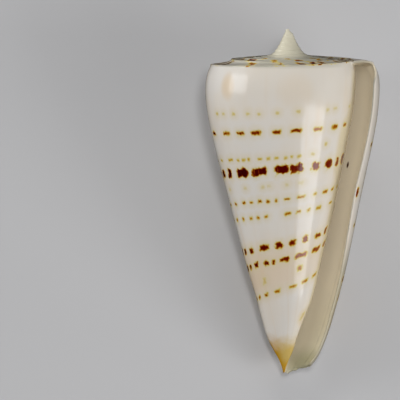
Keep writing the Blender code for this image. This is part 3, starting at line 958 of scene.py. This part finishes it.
# The callus beside the aperture is widest a third of the way down. Its edge is the sum of two fades.
CALLUS_EDGE = (("depth", 12.0, 20.0, -0.92, -0.88), ("depth", 24.0, 30.0, 0.0, -0.02))
CALLUS_FADE = 0.028
CALLUS_STRENGTH = 0.85
CALLUS_PLACE = (("turn", -1.2, -1.1), ("depth", 6.8, 9.0))

# Soft smudges: growth angle in degrees, depth, half width and half height in millimetres, strength
SMUDGES = (
    (-220, 10.4, 2.2, 3.2, 0.5), (-275, 11.0, 4.5, 4.5, 0.18), (-101, 16.0, 1.0, 6.5, 0.45),
    (-117, 47.0, 0.5, 4.5, 0.5), (-318, 54.5, 1.6, 2.2, 0.35),
)
THROAT_SPOT = (-31.5, 26.2, 0.5, 0.8)

# The ground's clouds, as waves a millimetre and detail, and warm bands, as waves a turn and a millimetre
CLOUDS = (0.09, 3.0)
CLOUD_RANGE = (0.35, 0.65)
BANDS = (34.0, 0.035)
BAND_RANGE = (0.52, 0.8, 0.0, 0.35)

# A dash's outline wavers with noises less their middle values, times a share of its half height and a least
# amount. Its corners are round by a share of its smaller half size.
WAVER = 1.15
LEAST_WAVER = 0.3
WAVER_NOISES = (("along", "half_length", 2.0, 0.5), ("across", "half_height", 1.0, 0.49))
DASH_CORNER = 0.75

# Pigment, by the distance from the outline, and the thin streaks worn in it
PIGMENT_RANGE = (0.20, -0.38)
STREAKS = (230.0, 0.12)
STREAK_RANGE = (0.45, 0.75)
WORN_PATCHES = 0.33
WORN_RANGE = (0.42, 0.7, 0.05, 0.75)

# Round a dash, the ground is yellowed, and the pigment fades over its outline
DASH_GLOW = ((YELLOWED, ("distance", 1.5, 0.1, 0.0, 0.4), PAST_COLUMELLA, ("inner", 0.3, 0.0)),)
DASH_PLACE = (("distance", 0.36, -0.06), ("tone", 0.0, 0.5))

# Gloss, with fine growth lines of so many waves a turn and a millimetre
GLOSS_CLOUDS = (0.6, 3.0)
ROUGHNESS_RANGE = (0.2, 0.8, 0.12, 0.2)
GROWTH_LINES = (260.0, 0.06)
LINE_STRENGTH = 0.12
LINE_HEIGHT = 0.00004
COAT = 0.12
COAT_ROUGHNESS = 0.08


def ground_colour(paint, place):
    """Cloudy white with faint warm bands along the growth lines and a flush in places."""
    turn, depth = paint.fact("turn"), paint.fact("depth")
    paint.facts["row"] = paint.times(depth, paint.math("POWER", ROW_RATIO, paint.times(turn, -1.0)))
    paint.facts["clouds"] = paint.fade(paint.noise(place, *CLOUDS), *CLOUD_RANGE)
    colour = paint.mix(paint.fact("clouds"), IVORY, COOL_WHITE)
    colour = paint.mix(paint.fade(paint.growth_noise(*BANDS), *BAND_RANGE), colour, PEACH)
    colour = paint.layered(colour, FLUSH_LAYERS)
    for *shape, strength in SMUDGES:
        colour = paint.mix(paint.times(smudge(paint, *shape), strength), colour, TAN)
    return colour


def smudge(paint, degrees, middle, half_width, half_height):
    """A soft round patch, 1 in the middle and 0 at its edge."""
    centre = degrees / 360.0
    radius = float(late_side_radius(np.array([centre]), np.array([side_share(middle)]))[0])
    along = paint.times(paint.math("SUBTRACT", paint.fact("turn"), centre), TAU * radius / half_width)
    down = paint.math("DIVIDE", paint.math("SUBTRACT", paint.fact("depth"), middle), half_height)
    far = paint.math("ADD", paint.math("POWER", along, 2.0), paint.math("POWER", down, 2.0))
    return paint.fade(far, 1.0, 0.0)


def with_callus(paint, colour):
    edge = paint.math("ADD", *[paint.cover(part) for part in CALLUS_EDGE])
    inside = paint.math("SUBTRACT", edge, CALLUS_FADE)
    callus = paint.fade(paint.fact("turn"), edge, inside, 0.0, CALLUS_STRENGTH)
    return paint.mix(paint.times(callus, paint.cover(*CALLUS_PLACE)), colour, CALLUS)


def with_stain(paint, place, colour):
    clouds = paint.times(paint.noise(place, STAIN_CLOUDS), STAIN_CLOUD_HEIGHT)
    paint.facts["cloudy_depth"] = paint.math("ADD", paint.fact("depth"), clouds)
    return paint.mix(paint.cover(*STAIN_PLACE), colour, paint.layered(PALE_OCHRE, STAIN_LAYERS))


def throat_colour(paint):
    """The inside of the aperture, palest at the lip's edge, with painted shade deep inside, at the front end
    and at the top.
    """
    colour = paint.layered(THROAT, THROAT_LAYERS)
    colour = paint.mix(paint.cover(*RIM_PLACE), colour, paint.layered(LIP_WHITE, RIM_LAYERS))
    colour = paint.layered(colour, THROAT_TOP_LAYERS)
    return paint.mix(smudge(paint, *THROAT_SPOT), colour, BROWN)


def dash_distance(paint, place):
    """Distance from the wavering outline of the nearest dash, in millimetres, below 0 inside it."""
    half_sizes = [paint.fact(half) for _, half, _, _ in WAVER_NOISES]
    reach = paint.math("ADD", paint.times(half_sizes[1], WAVER), LEAST_WAVER)
    corner = paint.times(paint.math("MINIMUM", *half_sizes), DASH_CORNER)
    past = []
    for name, half, detail, middle in WAVER_NOISES:
        waver = paint.times(paint.math("SUBTRACT", paint.noise(place, 1.0, detail), middle), reach)
        beside = paint.math("ABSOLUTE", paint.math("ADD", paint.fact(name), waver))
        past.append(paint.math("ADD", paint.math("SUBTRACT", beside, paint.fact(half)), corner))
    squares = [paint.math("POWER", paint.math("MAXIMUM", side, 0.0), 2.0) for side in past]
    outside = paint.math("SQRT", paint.math("ADD", *squares))
    within = paint.math("MINIMUM", paint.math("MAXIMUM", *past), 0.0)
    return paint.math("SUBTRACT", paint.math("ADD", outside, within), corner)


def with_dashes(paint, place, colour):
    """Lays the dashes over the colour, darkest in the middle of a large one."""
    distance = dash_distance(paint, place)
    paint.facts["distance"] = distance
    colour = paint.layered(colour, DASH_GLOW)
    streaks = paint.fade(paint.growth_noise(*STREAKS), *STREAK_RANGE)
    worn = paint.fade(paint.noise(place, WORN_PATCHES), *WORN_RANGE)
    thinned_by = paint.math("SUBTRACT", 1.0, paint.times(streaks, worn))
    pigment = paint.times(paint.fade(distance, *PIGMENT_RANGE), thinned_by, paint.fact("tone"))
    shown = paint.math("MAXIMUM", paint.cover(PAST_COLUMELLA), paint.fact("on_ramp"))
    return paint.mix(paint.times(paint.cover(*DASH_PLACE), shown), colour, paint.ramp(pigment, INK))


def shell_material():
    paint = Paint("glossy_dashed_shell")
    place = paint.place(1.0 / MM)
    colour = ground_colour(paint, place)
    colour = with_callus(paint, colour)
    colour = paint.layered(colour, SPIRE_LAYERS)
    colour = with_stain(paint, place, colour)
    colour = paint.layered(colour, LIP_LAYERS)
    colour = paint.mix(paint.cover(*INSIDE_PLACE), colour, throat_colour(paint))
    colour = with_dashes(paint, place, colour)
    roughness = paint.fade(paint.noise(place, *GLOSS_CLOUDS), *ROUGHNESS_RANGE)
    lines = {"Strength": LINE_STRENGTH, "Distance": LINE_HEIGHT, "Height": paint.growth_noise(*GROWTH_LINES)}
    paint.finish(Normal=paint.node("Bump", lines).outputs["Normal"])
    paint.finish(Coat_Weight=COAT, Coat_Roughness=COAT_ROUGHNESS)
    return paint.finish(Base_Color=colour, Roughness=roughness)


def floor_material():
    paint = Paint("pale_floor")
    colour = paint.mix(paint.noise(paint.place(), FLOOR_GRAIN), *FLOOR_GREYS)
    return paint.finish(Base_Color=colour, Roughness=FLOOR_ROUGHNESS)


def make_floor():
    mesh = bpy.data.meshes.new("floor")
    corners = [(x * FLOOR_REACH, y * FLOOR_REACH, 0.0) for x, y in ((-1, -1), (1, -1), (1, 1), (-1, 1))]
    mesh.from_pydata(corners, [], [(0, 1, 2, 3)])
    mesh.materials.append(floor_material())
    floor = bpy.data.objects.new("floor", mesh)
    bpy.context.scene.collection.objects.link(floor)
    floor.visible_glossy = False


def laid_down(direction):
    """Turns a direction of the shell's own frame as the shell lies."""
    return Matrix.Rotation(math.radians(REST_TILT), 3, "X") @ direction


def soft_light(name, around, along, distance, size, power, mirrored, shadows):
    """A rectangle of light that faces the shell square on."""
    data = bpy.data.lights.new(name, "AREA")
    data.shape = "RECTANGLE"
    data.size, data.size_y = size
    data.energy = power
    data.use_shadow = shadows
    light = bpy.data.objects.new(name, data)
    across = math.sqrt(1.0 - along * along)
    angle = math.radians(around)
    direction = laid_down(Vector((across * math.cos(angle), along, across * math.sin(angle))))
    side = laid_down(Vector((0.0, 1.0, 0.0))).cross(direction).normalized()
    turned = Matrix((side, direction.cross(side), direction)).transposed()
    aim = Vector((0.0, 0.0, LIGHT_AIM_HEIGHT))
    light.matrix_world = Matrix.Translation(aim + direction * distance) @ turned.to_4x4()
    light.visible_glossy = mirrored
    bpy.context.scene.collection.objects.link(light)


def make_lights():
    for settings in LIGHTS:
        soft_light(*settings)
    world = bpy.data.worlds.new("studio")
    bpy.context.scene.world = world
    world.use_nodes = True
    background = world.node_tree.nodes["Background"]
    background.inputs["Color"].default_value = (1.0, 1.0, 1.0, 1.0)
    background.inputs["Strength"].default_value = WORLD_STRENGTH
    world.cycles_visibility.glossy = False


def make_camera(apex):
    data = bpy.data.cameras.new("camera")
    data.lens = CAMERA_LENS
    data.sensor_width = SENSOR_WIDTH
    data.clip_start, data.clip_end = CLIP
    camera = bpy.data.objects.new("camera", data)
    lean = math.radians(CAMERA_LEAN)
    back = laid_down(Vector((0.0, math.sin(lean), math.cos(lean))))
    aim = laid_down(Vector((AIM_SIDE, -AIM_DEPTH, 0.0)))
    camera.location = apex + (aim + back * CAMERA_DISTANCE) * MM
    camera.rotation_mode = "QUATERNION"
    camera.rotation_quaternion = back.to_track_quat("Z", "Y")
    bpy.context.scene.collection.objects.link(camera)
    bpy.context.scene.camera = camera


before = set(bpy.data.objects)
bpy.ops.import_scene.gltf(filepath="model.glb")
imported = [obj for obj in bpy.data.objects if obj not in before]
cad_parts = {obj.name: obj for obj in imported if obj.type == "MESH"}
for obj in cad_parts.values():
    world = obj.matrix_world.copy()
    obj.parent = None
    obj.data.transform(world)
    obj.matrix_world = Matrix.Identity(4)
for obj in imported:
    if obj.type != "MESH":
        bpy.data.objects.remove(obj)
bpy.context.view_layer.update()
shell = make_shell()
make_floor()
make_lights()
make_camera(shell.data.vertices[0].co)
bpy.context.scene.view_settings.view_transform = "Standard"
